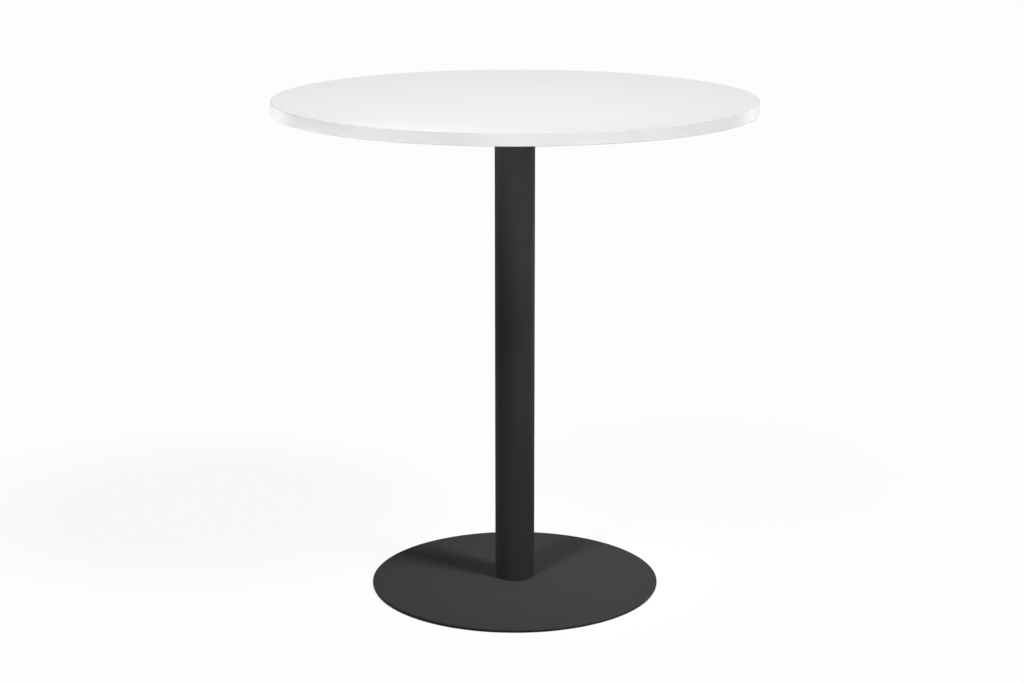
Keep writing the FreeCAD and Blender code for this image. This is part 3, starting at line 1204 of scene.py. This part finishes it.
class BARTABLE_OT_stage(bpy.types.Operator):
    """Makes the floor, the lamps, the room's light and the camera"""

    bl_idname = "bartable.stage"
    bl_label = "Stage"

    def execute(self, context):
        scene = context.scene
        scene.view_settings.view_transform = "Standard"
        studio = scene.bar_table_studio
        self.floor(studio.floor_shadow)
        self.room(studio.room_light)
        self.far_lamps(studio)
        self.near_lamps(studio)
        self.strips(studio)
        self.camera(studio)
        return {"FINISHED"}

    def floor(self, shadow):
        """Lays a pale floor just under the glides' pads."""
        bm = bmesh.new()
        below_pads = Matrix.Translation((0.0, 0.0, -FLOOR_GAP))
        bmesh.ops.create_grid(bm, x_segments=1, y_segments=1, size=FLOOR_REACH, matrix=below_pads)
        mesh = bpy.data.meshes.new("studio_floor")
        bm.to_mesh(mesh)
        bm.free()
        mesh.materials.append(self.floor_finish(shadow))
        floor = bpy.data.objects.new("studio_floor", mesh)
        bpy.context.scene.collection.objects.link(floor)

    def floor_finish(self, shadow):
        """Looks white with a soft shadow on it, and is clear from below and for the light of lamps.

        Open sky is how little of the table stands close to a point of the floor. Where little is open, the
        floor's colour is painted darker as a painted contact shadow, on top of the lamps' real shadow, so
        the floor is darkest where the foot covers it.
        """
        material = bpy.data.materials.new("studio_floor")
        graph = NodeGraph(material)
        graph.nodes.clear()
        plain = graph.add("ShaderNodeBsdfDiffuse", Color=(*colours().floor, 1.0))
        white = graph.add("ShaderNodeEmission")
        shaded = graph.add("ShaderNodeBsdfDiffuse")
        clear = graph.add("ShaderNodeBsdfTransparent")
        occlusion = graph.add("ShaderNodeAmbientOcclusion", Distance=0.005)
        occlusion.samples = 16
        open_sky = occlusion.outputs["AO"]
        # Painted shade: the floor's colour goes to black where the table stands close over it, a painted
        # contact shadow under the foot
        painted_contact_shade = graph.between(open_sky, low=0.0, high=1.0, start=0.35, stop=0.65)
        graph.links.new(painted_contact_shade, shaded.inputs["Color"])
        shadow_share = graph.between(open_sky, low=1.0, high=shadow, start=0.55, stop=0.75)
        below = graph.add("ShaderNodeNewGeometry").outputs["Backfacing"]
        to_lamp = graph.add("ShaderNodeLightPath").outputs["Is Shadow Ray"]
        seen = graph.mix(shadow_share, white, shaded)
        top = graph.mix(graph.background_rays(), plain, seen)
        graph.show("ShaderNodeOutputMaterial", graph.mix(graph.either(below, to_lamp), top, clear))
        return material

    def room(self, strength):
        """Gives even light from all round, in front of a white background."""
        world = bpy.data.worlds.new("studio_room")
        bpy.context.scene.world = world
        graph = NodeGraph(world)
        graph.nodes.clear()
        white = (1.0, 1.0, 1.0, 1.0)
        light = graph.add("ShaderNodeBackground", Color=white, Strength=strength)
        backdrop = graph.add("ShaderNodeBackground", Color=white, Strength=1.0)
        graph.show("ShaderNodeOutputWorld", graph.mix(graph.background_rays(), light, backdrop))

    def far_lamps(self, studio):
        """Hangs the lamps that light everything evenly from afar.

        Each has degrees round the column to the right of the camera, degrees above the floor, and its width
        in the sky in degrees.
        """
        for name, around, above, width, share in (
            ("key_lamp", 55.0, 48.0, 14.0, studio.key_light),
            ("side_lamp", -31.0, 48.0, 12.0, studio.side_light),
            ("under_lamp", 180.0, -65.0, 40.0, studio.under_light),
        ):
            data = bpy.data.lights.new(name, "SUN")
            data.angle = math.radians(width)
            data.energy = share * math.pi
            turn = Matrix.Rotation(math.radians(around), 4, "Z")
            tilt = Matrix.Rotation(math.radians(90.0 - above), 4, "X")
            self.hang(data, turn @ tilt @ Matrix.Translation((0.0, 0.0, LAMP_DISTANCE)))

    def near_lamps(self, studio):
        """Hangs the gridded lamps that face one part of the table.

        Each has its place, the point that it faces, its width and height, and its grid's spread in degrees.
        """
        for name, place, target, size, spread, power in (
            ("top_lamp", (0.0, -0.3, 2.2), (0.0, -0.3, 1.05), (0.5, 0.4), 90.0, studio.top_lamp),
            ("foot_lamp", (-0.83, -1.69, 2.27), (0.18, 0.0, 0.01), (0.5, 0.5), 9.0, studio.foot_lamp),
            ("edge_strip", (-3.9, 0.39, 0.96), (-0.45, -0.22, 0.96), (0.35, 0.12), 5.0, studio.edge_strip),
        ):
            self.gridded(name, place, target, size, spread, power)

    def strips(self, studio):
        """Hangs gridded lamps round the table, level with what they light and below the plane of the top.

        Each has degrees round the column to the right of the camera, the height of its middle, its width and
        height, and its grid's spread in degrees.
        """
        for name, around, height, size, spread, power in (
            ("front_strip", 0.0, 0.88, (0.6, 0.3), 14.0, studio.front_strip),
            ("front_left_strip", -45.0, 0.88, (0.6, 0.3), 14.0, studio.front_left_strip),
            ("front_right_strip", 35.0, 0.88, (0.6, 0.3), 14.0, studio.front_right_strip),
            ("right_strip", 60.0, 0.72, (0.4, 0.45), 8.0, studio.right_strip),
            ("left_strip", -70.0, 0.97, (0.8, 0.1), 6.0, studio.left_strip),
            ("low_strip", -85.0, 0.16, (0.3, 0.3), 6.0, studio.low_strip),
            ("back_right_strip", 135.0, 0.6, (0.6, 0.8), 20.0, studio.back_strips),
            ("back_left_strip", -135.0, 0.6, (0.6, 0.8), 20.0, studio.back_strips),
        ):
            place = Matrix.Rotation(math.radians(around), 4, "Z") @ Vector((0.0, -LAMP_DISTANCE, height))
            self.gridded(name, place, (0.0, 0.0, height), size, spread, power)

    def gridded(self, name, place, target, size, spread, power):
        """A flat lamp whose grid keeps its light within so many degrees."""
        facing = (Vector(target) - Vector(place)).to_track_quat("-Z", "Y").to_matrix().to_4x4()
        data = bpy.data.lights.new(name, "AREA")
        data.shape = "RECTANGLE"
        data.size, data.size_y = size
        data.spread = math.radians(spread)
        data.energy = power
        self.hang(data, Matrix.Translation(place) @ facing)

    def hang(self, data, place):
        """Puts a lamp in its place."""
        lamp = bpy.data.objects.new(data.name, data)
        lamp.matrix_world = place
        bpy.context.scene.collection.objects.link(lamp)

    def camera(self, studio):
        """Sets up the camera, at the photograph's angle."""
        data = bpy.data.cameras.new("photo_camera")
        data.sensor_fit = "HORIZONTAL"
        data.sensor_width = 36.0
        data.lens = studio.camera_lens
        camera = bpy.data.objects.new("photo_camera", data)
        camera.location = (studio.camera_side, -studio.camera_distance, studio.camera_height)
        camera.rotation_euler = (math.pi / 2 - studio.camera_pitch, 0.0, 0.0)
        bpy.context.scene.collection.objects.link(camera)
        bpy.context.scene.camera = camera


# Add-on


class BARTABLE_PT_panel(bpy.types.Panel):
    """The table's sizes, colours and pieces"""

    bl_idname = "BARTABLE_PT_panel"
    bl_label = "Bar Table"
    bl_space_type = "VIEW_3D"
    bl_region_type = "UI"
    bl_category = "Bar Table"

    def draw(self, context):
        for title, group in (
            ("Sizes", context.scene.bar_table_sizes),
            ("Colours", context.scene.bar_table_colours),
            ("Studio", context.scene.bar_table_studio),
        ):
            box = self.layout.box()
            box.label(text=title)
            for name in group.__annotations__:
                box.prop(group, name)
        pieces = self.layout.box()
        pieces.label(text="Pieces")
        for operator in OPERATORS:
            pieces.operator(operator.bl_idname)


GROUPS = {
    "bar_table_sizes": BarTableSizes,
    "bar_table_colours": BarTableColours,
    "bar_table_studio": BarTableStudio,
}
OPERATORS = (
    BARTABLE_OT_tabletop_faces,
    BARTABLE_OT_tabletop_edge,
    BARTABLE_OT_tabletop_inside,
    BARTABLE_OT_spider,
    BARTABLE_OT_fasteners,
    BARTABLE_OT_column,
    BARTABLE_OT_foot_cover,
    BARTABLE_OT_foot_weight,
    BARTABLE_OT_glides,
    BARTABLE_OT_stage,
)


def register():
    """Add the table's settings, operators and panel."""
    for name, group in GROUPS.items():
        bpy.utils.register_class(group)
        setattr(bpy.types.Scene, name, bpy.props.PointerProperty(type=group))
    for operator in OPERATORS:
        bpy.utils.register_class(operator)
    bpy.utils.register_class(BARTABLE_PT_panel)


def unregister():
    """Take the table's settings, operators and panel away again."""
    bpy.utils.unregister_class(BARTABLE_PT_panel)
    for operator in reversed(OPERATORS):
        bpy.utils.unregister_class(operator)
    for name, group in GROUPS.items():
        delattr(bpy.types.Scene, name)
        bpy.utils.unregister_class(group)


def main():
    """Dress the table and set the stage."""
    register()
    bpy.ops.bartable.tabletop_faces()
    bpy.ops.bartable.tabletop_edge()
    bpy.ops.bartable.tabletop_inside()
    bpy.ops.bartable.spider()
    bpy.ops.bartable.fasteners()
    bpy.ops.bartable.column()
    bpy.ops.bartable.foot_cover()
    bpy.ops.bartable.foot_weight()
    bpy.ops.bartable.glides()
    bpy.ops.bartable.stage()


if __name__ == "__main__":
    main()
